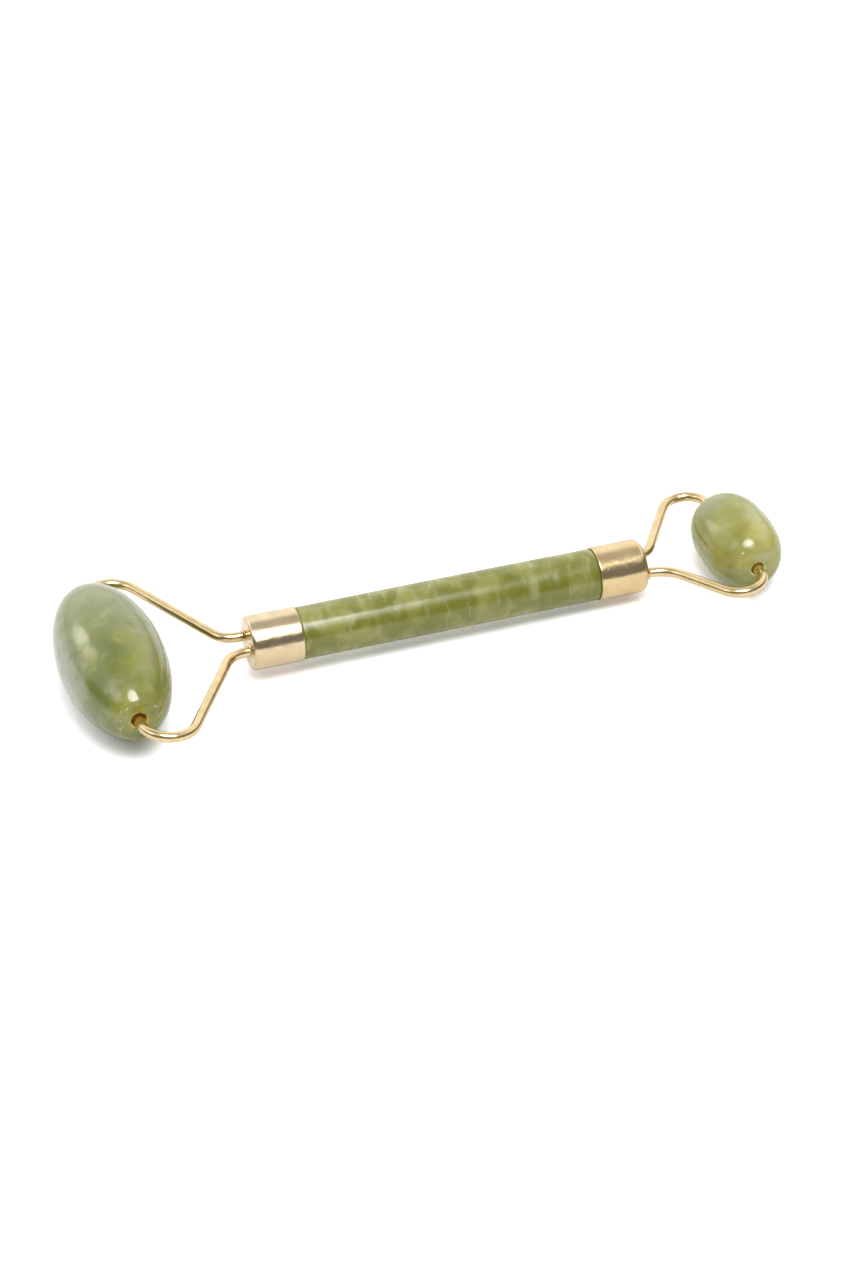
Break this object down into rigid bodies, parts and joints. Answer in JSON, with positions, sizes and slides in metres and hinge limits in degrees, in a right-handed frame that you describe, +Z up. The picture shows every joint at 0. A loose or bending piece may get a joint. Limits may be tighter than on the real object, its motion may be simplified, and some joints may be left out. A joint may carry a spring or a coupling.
{
  "type": "jade face roller",
  "caption": "Hand tool for rolling the face: a green jade handle with a gold wire yoke and a spinning jade barrel at each end, one large and one small.",
  "frame": {"origin": "centre of the footprint, on the surface the two rollers rest on", "axes": "+X along the handle from the large roller to the small one, +Y along both axles, +Z up. The tool lies on its two rollers, so the handle leans half a degree down towards +X."},
  "size_m": [0.1417, 0.0555, 0.0199],
  "materials": {
    "handle": "polished olive green jade",
    "tie_rod": "bare steel, hidden in the handle",
    "large_ferrule": "polished pale gold plating",
    "small_ferrule": "polished pale gold plating",
    "large_ferrule_plug": "turned, hidden in the ferrule",
    "small_ferrule_plug": "turned, hidden in the ferrule",
    "large_adhesive_bond": "cured epoxy, hidden in the ferrule",
    "small_adhesive_bond": "cured epoxy, hidden in the ferrule",
    "large_yoke_front_arm": "polished pale gold plating",
    "large_yoke_rear_arm": "polished pale gold plating",
    "small_yoke_front_arm": "polished pale gold plating",
    "small_yoke_rear_arm": "polished pale gold plating",
    "large_roller": "polished pale green jade",
    "small_roller": "polished yellow green jade",
    "large_front_liner": "translucent amber nylon",
    "large_rear_liner": "translucent amber nylon",
    "small_front_liner": "translucent amber nylon",
    "small_rear_liner": "translucent amber nylon"
  },
  "bodies": {
    "handle_frame": {"handle": "handle", "tie_rod": "tie_rod", "large_ferrule": "large_ferrule", "small_ferrule": "small_ferrule", "large_ferrule_plug": "large_ferrule_plug", "small_ferrule_plug": "small_ferrule_plug", "large_adhesive_bond": "large_adhesive_bond", "small_adhesive_bond": "small_adhesive_bond", "large_yoke_front_arm": "large_yoke_front_arm", "large_yoke_rear_arm": "large_yoke_rear_arm", "small_yoke_front_arm": "small_yoke_front_arm", "small_yoke_rear_arm": "small_yoke_rear_arm"},
    "large_roller": {"large_roller": "large_roller", "large_front_liner": "large_front_liner", "large_rear_liner": "large_rear_liner"},
    "small_roller": {"small_roller": "small_roller", "small_front_liner": "small_front_liner", "small_rear_liner": "small_rear_liner"}
  },
  "joints": [
    {"name": "large_roller_spin", "type": "hinge", "parent": "handle_frame", "child": "large_roller", "pos_m": [-0.06091, 0, 0.00995], "axis": [0, 1, 0], "continuous": true},
    {"name": "small_roller_spin", "type": "hinge", "parent": "handle_frame", "child": "small_roller", "pos_m": [0.06327, 0, 0.00758], "axis": [0, 1, 0], "continuous": true}
  ]
}
